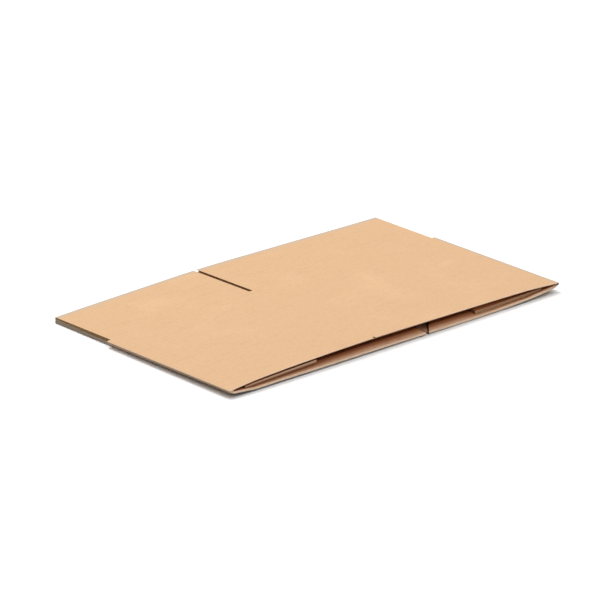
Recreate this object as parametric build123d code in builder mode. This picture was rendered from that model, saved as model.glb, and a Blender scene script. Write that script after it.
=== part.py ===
from build123d import *
import os

os.makedirs("parts", exist_ok=True)

# Panel sizes of the box, in millimetres
long_panel = 305.0
short_panel = 227.0
wall_height = 222.0
top_flap = 104.0
board = 3.8
liner = 0.55
slot_width = 5.5
fold_inset = 6.0

# Sizes of the bottom that is folded inwards
flap_depth = 140.0
flap_corner = 30.0
long_cut = 4.2
short_cut = 9.0
lower_share = 0.6
tab_start = 27.0
tab_reach = 138.0
tab_setback = 3.5
tab_drop = 4.9
tab_lift = 0.4
tab_front = 3.8
tab_board = 3.3
tab_fold = 4.5
thinnest_flap = 0.4
gap = 0.3
notch_width = 3.0
notch_depth = 3.0

# Sizes of the glued joint in the lower layer
joint_offset = 5.2
joint_gap = 4.4
lap_width = 33.0
lap_board = 1.9
lap_trim = 4.0
glue_length = 50.0
glue_width = 24.0
glue_bite = 0.5

# Sizes of the pressed folds
taper = 10.0
upper_nose = 1.2
lower_nose = 3.6
lift_depth = 8.0
side_nose = 2.6
side_tip = 0.8
side_slit = 0.2
side_setback = 4.5
corner_length = 8.0
corner_depth = 4.0
corner_open = 0.9

# Rounding of the front edge: distance behind the edge, and share of the rounding there
rounding = [(0.0, 1.0), (0.5, 0.35), (1.4, 0.0)]
upper_round = 0.5
lower_round = 0.9
side_round = 0.6

# Sizes of the wavy layer at the ends of the flaps
flute_pitch = 7.8
flute_depth = 5.0
wave_board = 0.45
edge_groove = 2.2
wave_bite = 0.1
wave_points = [(0.05, -1), (0.2, -1), (0.55, 1), (0.7, 1)]

width = long_panel + short_panel
depth = wall_height + top_flap
x_left = -width / 2
y_front = -depth / 2
tall = 40.0

# Heights of the outside faces at stations counted from the left fold
station = [6.5, 40, 90, 160, 227, 320, 420, 480, 525.5]
top_front = [11.2, 14.1, 16.2, 18.0, 18.8, 18.1, 16.9, 15.8, 13.0]
top_back = [7.9, 9.1, 10.5, 12.3, 13.8, 13.2, 12.0, 11.2, 10.8]
under_front = [3.8, 0, 0, 0, 0, 0, 0, 0, 6.8]
under_back = [0.1, 0, 0, 0, 0, 0, 0, 0, 2.2]

# Heights of the lifted underside right behind the rounded front edge
lifted = [4.7, 1.4, 1.5, 1.0, 1.1, 0.5, 0.2, 2.2, 7.0]

# Heights of the pinched edge at the left and right folds, and of the slit's ends inside them
edge_front = [9.2, 11.3]
edge_back = [6.4, 9.3]
pinch_front = [7.8, 10.4]
pinch_back = [4.9, 7.6]

# The board is pressed thinner where the side folds meet the front edge
wall_front = [2.4, 3.5, board, board, board, board, board, 3.5, 1.8]
wall_back = [board] * len(station)


def across(y):
    # the upright plane across the box at a distance behind the front edge
    return Plane.XZ.offset(-(y_front + y))


def row(front, back, y):
    share = (y - taper) / (depth - taper)
    return [f + (b - f) * share for f, b in zip(front, back)]


def raised(heights, amount):
    return [z + amount for z in heights]


def spots(heights):
    return [(x_left + x, z) for x, z in zip(station, heights)]


def levels(y):
    # faces of the layers, counted upwards from the floor
    top = row(top_front, top_back, y)
    under = row(under_front, under_back, y)
    wall = row(wall_front, wall_back, y)
    low_in = [z + w for z, w in zip(under, wall)]
    high_in = [z - w for z, w in zip(top, wall)]
    room = [high - low - 4 * gap - tab_board for low, high in zip(low_in, high_in)]
    low_flap = [z + gap + max(thinnest_flap, r * lower_share) for z, r in zip(low_in, room)]
    high_flap = [z - gap - max(thinnest_flap, r * (1 - lower_share)) for z, r in zip(high_in, room)]
    return under, low_in, low_flap, high_flap, high_in, top


def outline(y, under, top, edges, nose, inset):
    # a closed outline across the box: level or lifted below, bulged above, pinched at the sides
    half = nose / 2
    below = spots(under)[1:-1]
    x_in = x_left + inset
    x_out = -x_in
    tip = min(side_tip, half)
    left, right = edges
    with BuildSketch(across(y)) as section:
        with BuildLine():
            upper = Spline(*spots(top))
            lower = Spline(*below) if max(under[1:-1]) > min(under[1:-1]) else Line(below[0], below[-1])
            rise = TangentArc(lower @ 1, (x_left + station[-1], under[-1]), tangent=lower % 1)
            Line((x_left + station[0], under[0]), lower @ 0)
            Line((x_left + station[0], under[0]), (x_in + tip, left - half))
            ThreePointArc((x_in + tip, left - half), (x_in, left), (x_in + tip, left + half))
            Line((x_in + tip, left + half), upper @ 0)
            Line(rise @ 1, (x_out - tip, right - half))
            ThreePointArc((x_out - tip, right - half), (x_out, right), (x_out - tip, right + half))
            Line((x_out - tip, right + half), upper @ 1)
        make_face()
    return section.sketch


def strip(y, lower, upper):
    # a closed outline across the box between two rows of heights
    with BuildSketch(across(y)) as section:
        with BuildLine():
            Polyline(*spots(lower), *reversed(spots(upper)), close=True)
        make_face()
    return section.sketch


def ruled(sections):
    with BuildPart() as body:
        loft(sections=sections, ruled=True)
    return body.part


def within(body, *outlines):
    # keeps what lies inside plan outlines given from the left front corner
    with BuildPart() as kept:
        add(body)
        with BuildSketch(Plane.XY.offset(-tall / 2)):
            for corners in outlines:
                with BuildLine():
                    Polyline(*[(x_left + x, y_front + y) for x, y in corners], close=True)
                make_face()
        extrude(amount=2 * tall, mode=Mode.INTERSECT)
    return kept.part


def rectangle(x1, x2, y1, y2):
    return [(x1, y1), (x2, y1), (x2, y2), (x1, y2)]


def turned(corners):
    # the same plan outline for the lower layer, counted from the right fold
    return [(width - x, y) for x, y in corners]


# Outside of the flattened tube, with the rounded front edge
crest = levels(0)[5]
lift = levels(lift_depth)
start = levels(taper)
end = levels(depth)
front = []
for y, share in rounding:
    under = raised(lifted, share * lower_round)
    top = raised(crest, -share * upper_round)
    front.append(outline(y, under, top, edge_front, side_nose - share * side_round, share * side_round))
outside = ruled(front + [
    outline(lift_depth, lift[0], lift[5], edge_front, side_nose, 0),
    outline(depth, end[0], end[5], edge_back, side_nose, 0),
])

# Space between the two layers of walls, and the open front between the pressed folds
deep = levels(depth + taper)
hollow = ruled([
    outline(taper + gap, start[1], start[4], pinch_front, side_slit, side_setback),
    outline(depth + taper, deep[1], deep[4], pinch_back, side_slit, side_setback),
])
sill = raised(lifted, lower_nose)
soffit = raised(crest, -upper_nose)
before = (-rounding[1][0], 2 * rounding[0][1] - rounding[1][1])
behind = taper + 2 * gap
inside = levels(behind)
lips = []
for y, share in [before] + rounding:
    lips.append(strip(y, raised(sill, -share * lower_round), raised(soffit, share * gap)))
mouth = ruled(lips + [strip(taper, start[2], start[3]), strip(behind, inside[2], inside[3])])

# Flaps of the bottom, folded in between the walls
inner = levels(flap_depth)
high_layer = ruled([
    strip(taper, start[3], raised(start[4], -gap)),
    strip(flap_depth, inner[3], raised(inner[4], -gap)),
])
low_layer = ruled([
    strip(taper, raised(start[1], gap), start[2]),
    strip(flap_depth, raised(inner[1], gap), inner[2]),
])
edge = fold_inset + side_setback
high_slit = short_panel
low_slit = width - long_panel - joint_offset - joint_gap


def short_flap(slit):
    # the diagonal crease runs up from the corner, and the free side is cut back
    side = slit - flap_corner
    return [(edge, taper - gap), (edge, edge), (tab_reach, tab_reach), (side, tab_reach),
            (side, flap_corner), (slit - short_cut, taper), (slit - short_cut, taper - gap)]


def long_flap(slit):
    side = slit - long_cut
    shoulder = flap_depth - flap_corner
    return [(edge, taper - gap), (side, taper - gap), (side, shoulder), (side - flap_corner, flap_depth),
            (edge + flap_corner, flap_depth), (edge, shoulder)]


high_short = within(high_layer, short_flap(high_slit - notch_width / 2))
high_long = within(high_layer, turned(long_flap(width - high_slit - notch_width / 2)))
low_short = within(low_layer, turned(short_flap(low_slit)))
low_long = within(low_layer, long_flap(width - low_slit - joint_gap))

# Tabs folded back along the diagonal creases and glued to the long flaps
def left_tab_rows(low, high, thick=tab_board):
    upper = raised(high, -gap)
    return [min(u - gap, max(u - thick, z + gap)) for u, z in zip(upper, low)], upper


def right_tab_rows(low, high, thick=tab_board):
    lower = raised(low, gap)
    return lower, [max(z + gap, min(z + thick, u - gap)) for z, u in zip(lower, high)]


share = (tab_setback - rounding[-1][0]) / (taper - rounding[-1][0])
slope = [a + (b - a) * share + tab_lift for a, b in zip(sill, start[2])]


def tab_layer(rows):
    return ruled([
        strip(tab_setback, *rows(slope, raised(crest, gap - tab_drop), tab_front)),
        strip(taper, *rows(start[2], start[3])),
        strip(flap_depth, *rows(inner[2], inner[3])),
    ])


tab_plan = [(tab_start, tab_setback - gap), (tab_reach, tab_setback - gap), (tab_reach, tab_reach),
            (tab_start, tab_start)]
fold_plan = [(tab_start, tab_start), (tab_reach, tab_reach), (tab_reach, tab_reach - tab_fold),
             (tab_start + tab_fold, tab_start)]
glue_right = tab_reach - gap
glue_plan = rectangle(glue_right - glue_length, glue_right, taper + glue_width, taper + 2 * glue_width)
left_tab = within(tab_layer(left_tab_rows), tab_plan)
right_tab = within(tab_layer(right_tab_rows), turned(tab_plan))
left_fold = within(ruled([
    strip(taper, left_tab_rows(start[2], start[3])[0], raised(start[4], -gap)),
    strip(flap_depth, left_tab_rows(inner[2], inner[3])[0], raised(inner[4], -gap)),
]), fold_plan)
right_fold = within(ruled([
    strip(taper, raised(start[1], gap), right_tab_rows(start[2], start[3])[1]),
    strip(flap_depth, raised(inner[1], gap), right_tab_rows(inner[2], inner[3])[1]),
]), turned(fold_plan))
left_glue = within(ruled([
    strip(taper, raised(start[2], -glue_bite), raised(start[2], gap + glue_bite)),
    strip(flap_depth, raised(inner[2], -glue_bite), raised(inner[2], gap + glue_bite)),
]), glue_plan)
right_glue = within(ruled([
    strip(taper, raised(start[3], -gap - glue_bite), raised(start[3], glue_bite)),
    strip(flap_depth, raised(inner[3], -gap - glue_bite), raised(inner[3], glue_bite)),
]), turned(glue_plan))

# Lap that joins the long panel to the short one inside the lower layer
joint_left = long_panel + joint_offset
lap_left = joint_left - long_cut + gap
lap_plan = [(lap_left, 2 * flap_corner), (lap_left + lap_width, 2 * flap_corner + lap_trim),
            (lap_left + lap_width, wall_height - lap_trim), (lap_left, wall_height - lap_trim)]
with BuildPart() as lap:
    with BuildSketch(Plane.XY.offset(board - glue_bite)):
        with BuildLine():
            Polyline(*[(x_left + x, y_front + y) for x, y in lap_plan], close=True)
        make_face()
    extrude(amount=lap_board + glue_bite)

# The lower flaps are cut back on both sides of the joint, from the very edge
with BuildPart() as wedge:
    with BuildSketch(Plane.YZ.offset(x_left + joint_left - long_cut)):
        with BuildLine():
            profile = [(-gap, lifted[5] + lower_nose / 2), (behind, board), (behind, start[2][5] + gap),
                       (-gap, sill[5] + gap)]
            Polyline(*[(y_front + y, z) for y, z in profile], close=True)
        make_face()
    extrude(amount=long_cut + joint_gap + short_cut)
joint_right = joint_left + joint_gap
cut_plan = [(joint_left, -taper), (joint_right, -taper), (joint_right, 0),
            (joint_right + short_cut, behind), (joint_left - long_cut, behind), (joint_left, 0)]
side_cut = within(wedge.part, cut_plan)

# Slots between the top flaps, the joint, and the gaps between the folded flaps
mid_floor = (end[1][4] + end[4][4]) / 2
nose_floor = (sill[4] + soffit[4]) / 2
corner_floor = edge_front[1] - corner_open / 2
cuts = [
    (high_slit - slot_width / 2, high_slit + slot_width / 2, wall_height, depth + taper, mid_floor, tall),
    (long_panel - slot_width / 2, joint_left + slot_width / 2, wall_height, depth + taper, -tall, mid_floor),
    (-taper, fold_inset, wall_height, depth + taper, -tall, tall),
    (width - fold_inset, width + taper, wall_height, depth + taper, -tall, tall),
    (joint_left, joint_right, -taper, taper, -tall, nose_floor),
    (joint_left, joint_right, 0, wall_height, -tall, board),
    (high_slit - notch_width / 2, high_slit + notch_width / 2, -taper, notch_depth, nose_floor, tall),
    (width - corner_length, width + taper, -taper, corner_depth, corner_floor, corner_floor + corner_open),
]

# Open sides and ends of the corrugated board, between its two flat liners
high_core = ruled([
    strip(wall_height, raised(levels(wall_height)[5], liner - board), raised(levels(wall_height)[5], -liner)),
    strip(depth + taper, raised(deep[5], liner - board), raised(deep[5], -liner)),
])
low_core = ruled([
    strip(wall_height, raised(levels(wall_height)[0], liner), raised(levels(wall_height)[0], board - liner)),
    strip(depth + taper, raised(deep[0], liner), raised(deep[0], board - liner)),
])
core_top = depth - flute_depth
side_plans = [
    rectangle(0, fold_inset + edge_groove, wall_height, depth + taper),
    rectangle(width - fold_inset - edge_groove, width, wall_height, depth + taper),
]
end_plan = rectangle(fold_inset + edge_groove, width - fold_inset - edge_groove, core_top, depth + taper)


def slot_plan(x1, x2):
    return rectangle(x1 - edge_groove, x2 + edge_groove, wall_height, core_top)


high_open = within(high_core, *side_plans, end_plan, slot_plan(cuts[0][0], cuts[0][1]))
low_open = within(low_core, *side_plans, end_plan, slot_plan(cuts[1][0], cuts[1][1]))


def wave(x1, x2, heights):
    # the wavy layer seen at the end of a flap, between its two liners
    count = round((x2 - x1) / flute_pitch)
    pitch = (x2 - x1) / count
    swing = (board - 2 * liner - wave_board) / 2 + wave_bite
    path = []
    for i in range(count):
        for share, side in wave_points:
            x = x1 + (i + share) * pitch
            k = max(n for n in range(len(station) - 1) if station[n] <= x)
            along = (x - station[k]) / (station[k + 1] - station[k])
            z = heights[k] + along * (heights[k + 1] - heights[k])
            path.append((x_left + x, z + side * swing))
    with BuildPart() as ribbon:
        with BuildSketch(across(depth)):
            with BuildLine():
                upper = [(x, z + wave_board / 2) for x, z in path]
                lower = [(x, z - wave_board / 2) for x, z in path]
                Polyline(*upper, *reversed(lower), close=True)
            make_face()
        extrude(amount=flute_depth, dir=(0, -1, 0))
    return ribbon.part


inset = fold_inset + edge_groove
high_mid = raised(end[5], -board / 2)
low_mid = raised(end[0], board / 2)
waves = [
    wave(inset, cuts[0][0] - edge_groove, high_mid),
    wave(cuts[0][1] + edge_groove, width - inset, high_mid),
    wave(inset, cuts[1][0] - edge_groove, low_mid),
    wave(cuts[1][1] + edge_groove, width - inset, low_mid),
]

with BuildPart() as flat_box:
    add(outside)
    add(hollow, mode=Mode.SUBTRACT)
    add(mouth, mode=Mode.SUBTRACT)
    add(side_cut, mode=Mode.SUBTRACT)
    add([high_short, high_long, low_short, low_long])
    add([left_fold, right_fold, left_tab, right_tab, left_glue, right_glue, lap.part])
    for x1, x2, y1, y2, z1, z2 in cuts:
        with Locations((x_left + x1, y_front + y1, z1)):
            Box(x2 - x1, y2 - y1, z2 - z1, align=Align.MIN, mode=Mode.SUBTRACT)
    add([high_open, low_open], mode=Mode.SUBTRACT)
    add(waves)

box = flat_box.part
box.label = "flat_box"
export_step(box, "parts/flat_box.step")
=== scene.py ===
import bpy
import math
from functools import partial, reduce
from mathutils import Matrix, Vector


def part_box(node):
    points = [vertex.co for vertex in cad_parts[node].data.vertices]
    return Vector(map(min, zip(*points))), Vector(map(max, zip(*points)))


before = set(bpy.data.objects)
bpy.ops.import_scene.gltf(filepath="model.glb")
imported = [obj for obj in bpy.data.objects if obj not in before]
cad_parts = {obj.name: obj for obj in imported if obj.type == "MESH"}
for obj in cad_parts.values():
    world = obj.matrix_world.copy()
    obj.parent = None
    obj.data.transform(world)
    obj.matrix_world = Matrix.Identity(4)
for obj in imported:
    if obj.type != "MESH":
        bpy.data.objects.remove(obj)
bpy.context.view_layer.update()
scene = bpy.context.scene
box_low, box_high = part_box("flat_box")
FRONT = box_low[1]
BACK = box_high[1]
SIDE = box_high[0]

# Sizes of the board and the box, in metres, as in the part's source
BOARD = 0.0038
FLUTE_PITCH = 0.0078
TOP_FLAP = 0.104

# The top edge of the left tab: the point where it bends, and its slopes on both sides
TAB_KNEE = (-0.176, 0.0114)
TAB_SLOPES = (0.042, 0.026)

# The joint between the lower flaps
JOINT = 0.0464
JOINT_GAP = 0.0044
HALF_GAP = 0.5 * JOINT_GAP

# The slanting cut beside the joint: where it starts in front, and the way it faces
CUT_START = (0.0522, FRONT + 0.0043)
CUT_FACING = (-0.76, 0.65)

# The photograph's camera: a long lens, low over the left front corner. The focal length is in
# pixels of the photograph, the sensor in millimetres, angles in radians and places in metres
FOCAL = 5500.0
PHOTO_WIDTH = 610.0
SENSOR = 36.0
PITCH = 0.36138
YAW = 0.72806
TARGET = Vector((0.00515, 0.01013, 0.0))
DISTANCE = 6.65867
CLIP_END = 100.0

# Floor and light. The sky is a bright ceiling that fades down to a pale backdrop at the horizon.
# Each band of it has the heights where it begins and ends, from 0 to 1, and its strength there
FLOOR_SIZE = 12.0
FLOOR_COLOUR = (0.68, 0.68, 0.68, 1.0)
FLOOR_ROUGHNESS = 0.9
FLOOR_SHINE = 0.1
CEILING = (0.3, 0.95, 0.24, 2.28)
BACKDROP = (0.05, 0.09, 0.8, 0.0)
BAND_LIMITS = ("From Min", "From Max", "To Min", "To Max")
WHITE = (1.0, 1.0, 1.0)
LAMP_PLACE = Vector((0.0, 1.2, 2.8))
LAMP_SIZE = 1.5
LAMP_POWER = 52.5

# Kraft colours, as linear red, green, blue and full cover
KRAFT = (0.43, 0.269, 0.147, 1.0)
PALE = (0.49, 0.315, 0.18, 1.0)
DARK = (0.355, 0.213, 0.11, 1.0)
FLECK = (0.22, 0.125, 0.06, 1.0)
# Pale worn liner, which is also a painted highlight on the lower front fold
WORN_AND_HIGHLIGHT = (0.62, 0.46, 0.335, 1.0)
RUBBED = (0.45, 0.31, 0.205, 1.0)
# Dirt, and painted shade in the slit and where the lower lip turns under
SHADE_AND_GRIME = (0.11, 0.085, 0.065, 1.0)
# Cut edges of the upper and lower layers: the board's own brown, darkened with painted shade of the
# flute hollows
CUT_AND_FLUTE_SHADE = (0.135, 0.076, 0.024, 1.0)
CUT_BELOW_AND_FLUTE_SHADE = (0.19, 0.145, 0.105, 1.0)
LINER_LINE = (0.34, 0.25, 0.17, 1.0)
# Painted light on the faces in the slots
SLOT_LIGHT = (0.46, 0.28, 0.125, 1.0)
# Painted shade on the side folds' faces that turn away from the top
SIDE_UNDER_SHADE = (0.20, 0.15, 0.11, 1.0)
TAB_EDGE = (0.22, 0.115, 0.06, 1.0)
LINER_EDGE = (0.47, 0.31, 0.19, 1.0)
# Painted light on the open wedge beside the slanting cut
WEDGE_LIGHT = (0.66, 0.40, 0.265, 1.0)
# Painted shade on the rims of the top along the back and right edges
RIM_SHADE = (0.35, 0.27, 0.20, 1.0)
# Painted shade at the right front tip
TIP_SHADE = (0.05, 0.032, 0.02, 1.0)
DEEP = (0.82, 0.43, 0.25, 1.0)

# Noise in the paper: its repeats in each metre along x, y and z, its detail and its roughness
CLOUD = ((16.0, 16.0, 16.0), 3.0, 0.55)
STREAK = ((30.0, 160.0, 60.0), 3.0, 0.55)
MOTTLE = ((220.0, 300.0, 300.0), 3.0, 0.55)
FIBRE = ((700.0, 2600.0, 2000.0), 2.0, 0.6)
FLECKS = ((900.0, 1900.0, 1900.0), 1.0, 0.55)
SCUFF = ((90.0, 420.0, 420.0), 4.0, 0.65)

# How a noise or the wave shows: the values where it starts and is full, and its shares there
CLOUD_SHOWS = (0.52, 0.78, 0.0, 0.45)
STREAK_SHOWS = (0.50, 0.75, 0.0, 0.28)
MOTTLE_SHOWS = (0.50, 0.80, 0.0, 0.40)
PALE_FIBRE_SHOWS = (0.50, 0.75, 0.0, 0.35)
DARK_FIBRE_SHOWS = (0.48, 0.25, 0.0, 0.35)
FLECK_SHOWS = (0.70, 0.78, 0.0, 0.8)
WAVE_SHOWS = (0.2, 1.0, 0.0, 0.08)
WEAR_SHOWS = (0.30, 0.55, 0.45, 1.0)
LIP_SHOWS = (0.35, 0.60, 0.35, 0.65)
SCRATCH_SHOWS = (0.58, 0.68, 0.0, 0.25)
LINER_SHOWS = (0.40, 0.60, 0.3, 1.0)
ROUGHNESS = (0.3, 0.7, 0.70, 0.84)
WORN_ROUGHNESS = 0.92
SHINE = 0.3

# Each mark below has two places: where it starts to show and where it is full.
# Distances behind the front edge
FRONT_RUB = (0.0022, 0.0006)
TABS_FROM = (0.0026, 0.0030)
TABS_TO = (0.03, 0.02)
NOSE = (0.0045, 0.0035)
DIRT = (0.006, 0.003)
LIP_TOP = (0.0075, 0.0035)
TIP_DEPTH = (0.010, 0.006)
NEAR_FRONT = (0.014, 0.002)
WEDGE_DEPTH = (0.024, 0.021)

# Distances in front of the back edge
FLAP_FADE = 0.001
AT_FLAPS = (TOP_FLAP + FLAP_FADE, TOP_FLAP - FLAP_FADE)
BACK_RIM = (0.008, 0.0035)

# Distances from the nearest side fold
SIDE_RUB = (0.0016, 0.0004)
INSIDE = (0.008, 0.010)

# Distances from the right side fold
RIGHT_RIM = (0.007, 0.0025)
TIP_REACH = (0.006, 0.003)
ON_FLOOR = (0.03, 0.07)

# Places from left to right, from the middle of the box
LEFT_HALF = (0.02, -0.02)
LIP_END = (0.14, 0.10)
WEDGE_START = (JOINT - HALF_GAP - 0.001, JOINT - HALF_GAP)
WEDGE_END = (0.072, 0.068)

# Distances from the middle of the joint, and in front of and behind the slanting cut
IN_JOINT = (HALF_GAP + 0.0002, HALF_GAP - 0.0004)
CUT_SIDE = (-0.0008, -0.0004)
CUT_FOOT = (0.0016, 0.0011)

# Heights over the floor, and distances from the line between the layers and below the tab's top
LOWER_LIP = (0.0085, 0.0065)
BELOW_TOP = (0.0100, 0.0095)
UPPER_LAYER = (BOARD + 0.0004, BOARD + 0.0018)
LAYER_LINE = BOARD + 0.0009
AT_LAYER_LINE = (0.0009, 0.0004)
TAB_LINER = (0.0022, 0.0016)

# How far faces turn: the share of their direction along an axis
UPRIGHT = (0.6, 0.35)
TO_SIDE = (0.6, 0.8)
TO_FRONT = (-0.5, -0.8)
ON_TOP = (0.6, 0.9)
OFF_TOP = (0.55, 0.25)
OFF_UNDERSIDE = (-0.5, -0.3)
LIP_FACE = (-0.1, 0.2)
TURNED_UNDER = (-0.25, -0.65)

# Shares: of the tab's colour on the right tab, of the painted shade on the rims, and of the shade
# that cut edges are spared
RIGHT_TAB = 0.7
RIM_SHADE_SHARE = 0.95
CUT_LIT = 0.6

# Shade in hollows: how far away other faces count, the rays for each point, and the openness
# where the shade starts and is full
HOLLOW_REACH = 0.020
HOLLOW_SAMPLES = 8
HOLLOW_SHADE = (1.0, 0.12)

# Relief: its unit in metres, and heights in that unit, so in millimetres
RELIEF_UNIT = 0.001
WAVE_HEIGHT = 0.035
CLOUD_HEIGHT = 0.8
MOTTLE_HEIGHT = 0.10
FIBRE_HEIGHT = 0.03
CREASE_HEIGHT = 0.15

# Places of the sockets on a mix node, where several have one name
MIX_AMOUNT = 0
MIX_BELOW = 6
MIX_ABOVE = 7
MIX_RESULT = 2


def new_material(name):
    material = bpy.data.materials.new(name)
    material.use_nodes = True
    nodes = material.node_tree.nodes
    nodes.clear()
    shader = nodes.new("ShaderNodeBsdfPrincipled")
    out = nodes.new("ShaderNodeOutputMaterial")
    material.node_tree.links.new(shader.outputs["BSDF"], out.inputs["Surface"])
    return material, shader


# Camera
ahead = Vector((math.sin(YAW) * math.cos(PITCH), math.cos(YAW) * math.cos(PITCH), -math.sin(PITCH)))
right = Vector((math.cos(YAW), -math.sin(YAW), 0.0))
up = right.cross(ahead)
camera_data = bpy.data.cameras.new("camera")
camera_data.sensor_width = SENSOR
camera_data.lens = SENSOR * FOCAL / PHOTO_WIDTH
camera_data.clip_end = CLIP_END
camera = bpy.data.objects.new("camera", camera_data)
scene.collection.objects.link(camera)
turn = Matrix((right, up, -ahead)).transposed().to_4x4()
camera.matrix_world = Matrix.Translation(TARGET - ahead * DISTANCE) @ turn
scene.camera = camera

# Plain pale floor
floor_white, floor_shader = new_material("floor_white")
floor_shader.inputs["Base Color"].default_value = FLOOR_COLOUR
floor_shader.inputs["Roughness"].default_value = FLOOR_ROUGHNESS
floor_shader.inputs["Specular IOR Level"].default_value = FLOOR_SHINE
bpy.ops.mesh.primitive_plane_add(size=FLOOR_SIZE, location=(0.0, 0.0, 0.0))
floor = bpy.context.active_object
floor.name = "floor"
floor.data.materials.append(floor_white)

# Plain soft studio light: the sky, its two bands added up, and a round lamp above and behind the box
world = bpy.data.worlds.new("studio")
world.use_nodes = True
sky = world.node_tree
direction = sky.nodes.new("ShaderNodeTexCoord")
height = sky.nodes.new("ShaderNodeSeparateXYZ")
sky.links.new(direction.outputs["Generated"], height.inputs["Vector"])
strength = sky.nodes.new("ShaderNodeMath")
strength.operation = "ADD"
for socket, band in zip(strength.inputs, (CEILING, BACKDROP)):
    fade = sky.nodes.new("ShaderNodeMapRange")
    for limit, value in zip(BAND_LIMITS, band):
        fade.inputs[limit].default_value = value
    sky.links.new(height.outputs["Z"], fade.inputs["Value"])
    sky.links.new(fade.outputs["Result"], socket)
background = sky.nodes["Background"]
background.inputs["Color"].default_value = (*WHITE, 1.0)
sky.links.new(strength.outputs["Value"], background.inputs["Strength"])
scene.world = world

lamp_data = bpy.data.lights.new("key", "AREA")
lamp_data.shape = "DISK"
lamp_data.size = LAMP_SIZE
lamp_data.energy = LAMP_POWER
lamp_data.color = WHITE
lamp = bpy.data.objects.new("key", lamp_data)
scene.collection.objects.link(lamp)
lamp.location = LAMP_PLACE
lamp.rotation_euler = (-LAMP_PLACE).to_track_quat("-Z", "Y").to_euler()

kraft, shader = new_material("kraft")
tree = kraft.node_tree


# Short ways to add nodes to the kraft material. A value is a number or a socket of another node
def feed(socket, value):
    if isinstance(value, bpy.types.NodeSocket):
        tree.links.new(value, socket)
    else:
        socket.default_value = value


def maths(operation, *values):
    step = tree.nodes.new("ShaderNodeMath")
    step.operation = operation
    for socket, value in zip(step.inputs, values):
        feed(socket, value)
    return step.outputs["Value"]


def product(*values):
    return reduce(partial(maths, "MULTIPLY"), values)


def total(*values):
    return reduce(partial(maths, "ADD"), values)


def largest(*values):
    return reduce(partial(maths, "MAXIMUM"), values)


def minus(value, other):
    return maths("SUBTRACT", value, other)


def unless(share):
    return minus(1.0, share)


def size_of(value):
    return maths("ABSOLUTE", value)


def ramp(value, start, full, low=0.0, high=1.0):
    step = tree.nodes.new("ShaderNodeMapRange")
    step.interpolation_type = "SMOOTHSTEP"
    feed(step.inputs["Value"], value)
    for limit, number in zip(BAND_LIMITS, (start, full, low, high)):
        step.inputs[limit].default_value = number
    return step.outputs["Result"]


def blend(amount, below, above, kind="MIX"):
    step = tree.nodes.new("ShaderNodeMix")
    step.data_type = "RGBA"
    step.blend_type = kind
    feed(step.inputs[MIX_AMOUNT], amount)
    feed(step.inputs[MIX_BELOW], below)
    feed(step.inputs[MIX_ABOVE], above)
    return step.outputs[MIX_RESULT]


def parts_of(vector):
    step = tree.nodes.new("ShaderNodeSeparateXYZ")
    tree.links.new(vector, step.inputs["Vector"])
    return step.outputs


def noise(repeats, detail, roughness):
    spread = tree.nodes.new("ShaderNodeMapping")
    tree.links.new(where.outputs["Object"], spread.inputs["Vector"])
    spread.inputs["Scale"].default_value = repeats
    step = tree.nodes.new("ShaderNodeTexNoise")
    tree.links.new(spread.outputs["Vector"], step.inputs["Vector"])
    step.inputs["Scale"].default_value = 1.0
    step.inputs["Detail"].default_value = detail
    step.inputs["Roughness"].default_value = roughness
    return step.outputs["Fac"]


# Places on the box and the way its faces turn
where = tree.nodes.new("ShaderNodeTexCoord")
x, y, z = parts_of(where.outputs["Object"])
facing_x, facing_y, facing_z = parts_of(where.outputs["Normal"])
from_front = minus(y, FRONT)
from_back = minus(BACK, y)
from_side = minus(SIDE, size_of(x))
from_right = minus(SIDE, x)
on_top = ramp(facing_z, *ON_TOP)
lower_lip = ramp(z, *LOWER_LIP)
near_front = ramp(from_front, *NEAR_FRONT)

# Where the board is cut: round the top flaps, in the slots, at the ends of what is folded in, and
# along the tabs in front, with the light line between the cut edges of the two layers
at_flaps = ramp(from_back, *AT_FLAPS)
end_cut = product(ramp(size_of(facing_x), *TO_SIDE), ramp(from_side, *INSIDE))
cut_edge = product(ramp(size_of(facing_z), *UPRIGHT), largest(at_flaps, end_cut))
in_slot = product(end_cut, at_flaps)
at_tabs = product(ramp(from_front, *TABS_FROM), ramp(from_front, *TABS_TO), ramp(facing_y, *TO_FRONT))
tab_edge = product(at_tabs, ramp(x, *LEFT_HALF, RIGHT_TAB, 1.0))
layer_line = product(cut_edge, ramp(size_of(minus(z, LAYER_LINE)), *AT_LAYER_LINE))

# The light liner along the top of the left tab, below the bent line of its top edge
past_knee = minus(x, TAB_KNEE[0])
tab_rise = maths("MINIMUM", *[product(past_knee, slope) for slope in TAB_SLOPES])
under_tab_top = minus(total(tab_rise, TAB_KNEE[1]), z)
tab_liner = product(ramp(under_tab_top, *TAB_LINER), ramp(x, *LEFT_HALF))

# In the slit: its end in the nose, the foot of the slanting cut, and the open wedge beside it. The
# slit and the foot of the cut get painted shade, the wedge gets painted light
below_top = ramp(z, *BELOW_TOP)
in_nose = ramp(from_front, *NOSE)
in_joint = product(below_top, in_nose, ramp(size_of(minus(x, JOINT)), *IN_JOINT))
past_start = [minus(axis, start) for axis, start in zip((x, y), CUT_START)]
off_cut = total(*[product(past, share) for past, share in zip(past_start, CUT_FACING)])
along_front = product(ramp(x, *WEDGE_START), ramp(x, *WEDGE_END), ramp(from_front, *WEDGE_DEPTH))
beside_cut = product(along_front, below_top, ramp(off_cut, *CUT_SIDE), ramp(facing_z, *OFF_UNDERSIDE))
cut_foot = ramp(off_cut, *CUT_FOOT)
in_slit = largest(in_joint, product(beside_cut, cut_foot))
in_wedge = product(beside_cut, unless(in_nose), unless(cut_foot))

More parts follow.
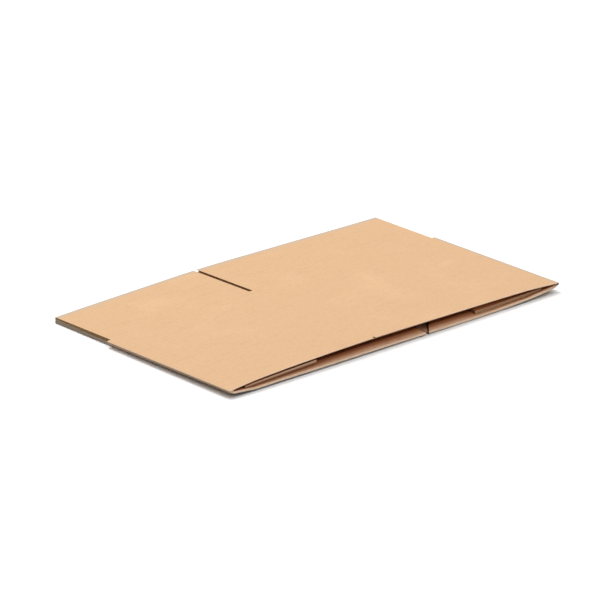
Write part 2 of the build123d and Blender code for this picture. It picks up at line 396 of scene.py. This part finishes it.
# Where the box is worn, and where shade and light are painted: rubbed folds, painted shade under the
# side folds, a pale lower lip that is worn and has a painted highlight, dirt and painted shade under
# it near the floor, and painted shade on the rims of the top and at the right front tip
side_fold = product(ramp(from_side, *SIDE_RUB), unless(at_flaps))
# Painted shade where the side folds turn away from the top
side_under_shade = product(side_fold, ramp(facing_z, *OFF_TOP))
fold = largest(ramp(from_front, *FRONT_RUB), side_fold)
# Pale wear and a painted highlight on the top of the lower lip
lip_top_highlight = product(lower_lip, ramp(from_front, *LIP_TOP), ramp(x, *LIP_END), ramp(facing_z, *LIP_FACE))
on_floor = product(lower_lip, ramp(from_right, *ON_FLOOR))
# Dirt and painted shade where the lower lip turns under, near the floor
dirt_and_shade = product(on_floor, ramp(from_front, *DIRT), ramp(facing_z, *TURNED_UNDER))
# Painted shade along the back and right rims of the top
rim_shade_mask = product(largest(ramp(from_back, *BACK_RIM), ramp(from_right, *RIGHT_RIM)), on_top)
# Painted shade at the right front tip
tip_shade = product(ramp(from_right, *TIP_REACH), ramp(from_front, *TIP_DEPTH), unless(on_top))

# Paper: clouds, streaks along the web of the paper, mottling, fibres, flecks and scuffs, and the
# waves of the board
cloud, streak, mottle, fibre, fleck, scuff = [
    noise(*look) for look in (CLOUD, STREAK, MOTTLE, FIBRE, FLECKS, SCUFF)]
wave = maths("SINE", product(x, 2.0 * math.pi / FLUTE_PITCH))
# Wear on the folds; on the lower lip its pale colour is also a painted highlight
wear_and_highlight = product(fold, ramp(scuff, *WEAR_SHOWS))

# Colours, each laid over those before it as far as its amount says
layers = [
    (ramp(cloud, *CLOUD_SHOWS), PALE),
    (ramp(streak, *STREAK_SHOWS), DARK),
    (ramp(mottle, *MOTTLE_SHOWS), DARK),
    (ramp(fibre, *PALE_FIBRE_SHOWS), PALE),
    (ramp(fibre, *DARK_FIBRE_SHOWS), DARK),
    (ramp(fleck, *FLECK_SHOWS), FLECK),
    (ramp(wave, *WAVE_SHOWS), DARK),
    # Rubbed folds; on the lower lip the pale wear is also a painted highlight
    (wear_and_highlight, blend(lower_lip, RUBBED, WORN_AND_HIGHLIGHT)),
    # Pale wear and painted highlight on the top of the lower lip
    (product(lip_top_highlight, ramp(scuff, *LIP_SHOWS)), WORN_AND_HIGHLIGHT),
    (product(near_front, ramp(scuff, *SCRATCH_SHOWS)), RUBBED),
    # Cut edges, with painted shade of the flute hollows
    (cut_edge, blend(ramp(z, *UPPER_LAYER), CUT_BELOW_AND_FLUTE_SHADE, CUT_AND_FLUTE_SHADE)),
    (product(layer_line, ramp(scuff, *LINER_SHOWS)), LINER_LINE),
    # Painted light in the slots
    (in_slot, SLOT_LIGHT),
    # Painted shade under the side folds
    (side_under_shade, SIDE_UNDER_SHADE),
    (tab_edge, blend(tab_liner, TAB_EDGE, LINER_EDGE)),
    # Painted light on the wedge
    (in_wedge, WEDGE_LIGHT),
    # Painted shade in the slit
    (in_slit, SHADE_AND_GRIME),
    # Dirt and painted shade under the lower lip
    (dirt_and_shade, SHADE_AND_GRIME),
    # Painted shade on the rims
    (product(rim_shade_mask, RIM_SHADE_SHARE), RIM_SHADE),
    # Painted shade at the tip
    (tip_shade, TIP_SHADE),
]
colour = KRAFT
for amount, layer in layers:
    colour = blend(amount, colour, layer)

# The inside of the folds is out of the light, but slots and cut edges stay as light as they are
hollow = tree.nodes.new("ShaderNodeAmbientOcclusion")
hollow.samples = HOLLOW_SAMPLES
hollow.only_local = True
hollow.inputs["Distance"].default_value = HOLLOW_REACH
lit = largest(in_slot, in_wedge, product(cut_edge, CUT_LIT))
shade = product(ramp(hollow.outputs["AO"], *HOLLOW_SHADE), unless(lit))
colour = blend(shade, colour, blend(1.0, colour, DEEP, "MULTIPLY"))
tree.links.new(colour, shader.inputs["Base Color"])

rough = largest(ramp(mottle, *ROUGHNESS), product(wear_and_highlight, WORN_ROUGHNESS))
tree.links.new(rough, shader.inputs["Roughness"])
shader.inputs["Specular IOR Level"].default_value = SHINE

# Relief: the waves under the liner, soft dents, mottling, fibres and the creased front edge
relief = total(
    product(wave, WAVE_HEIGHT),
    product(cloud, CLOUD_HEIGHT),
    product(mottle, MOTTLE_HEIGHT),
    product(fibre, FIBRE_HEIGHT),
    product(near_front, scuff, CREASE_HEIGHT),
)
bump = tree.nodes.new("ShaderNodeBump")
bump.inputs["Strength"].default_value = 1.0
bump.inputs["Distance"].default_value = RELIEF_UNIT
tree.links.new(relief, bump.inputs["Height"])
tree.links.new(bump.outputs["Normal"], shader.inputs["Normal"])

flat_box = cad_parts["flat_box"]
flat_box.data.materials.clear()
flat_box.data.materials.append(kraft)

scene.view_settings.view_transform = "Standard"
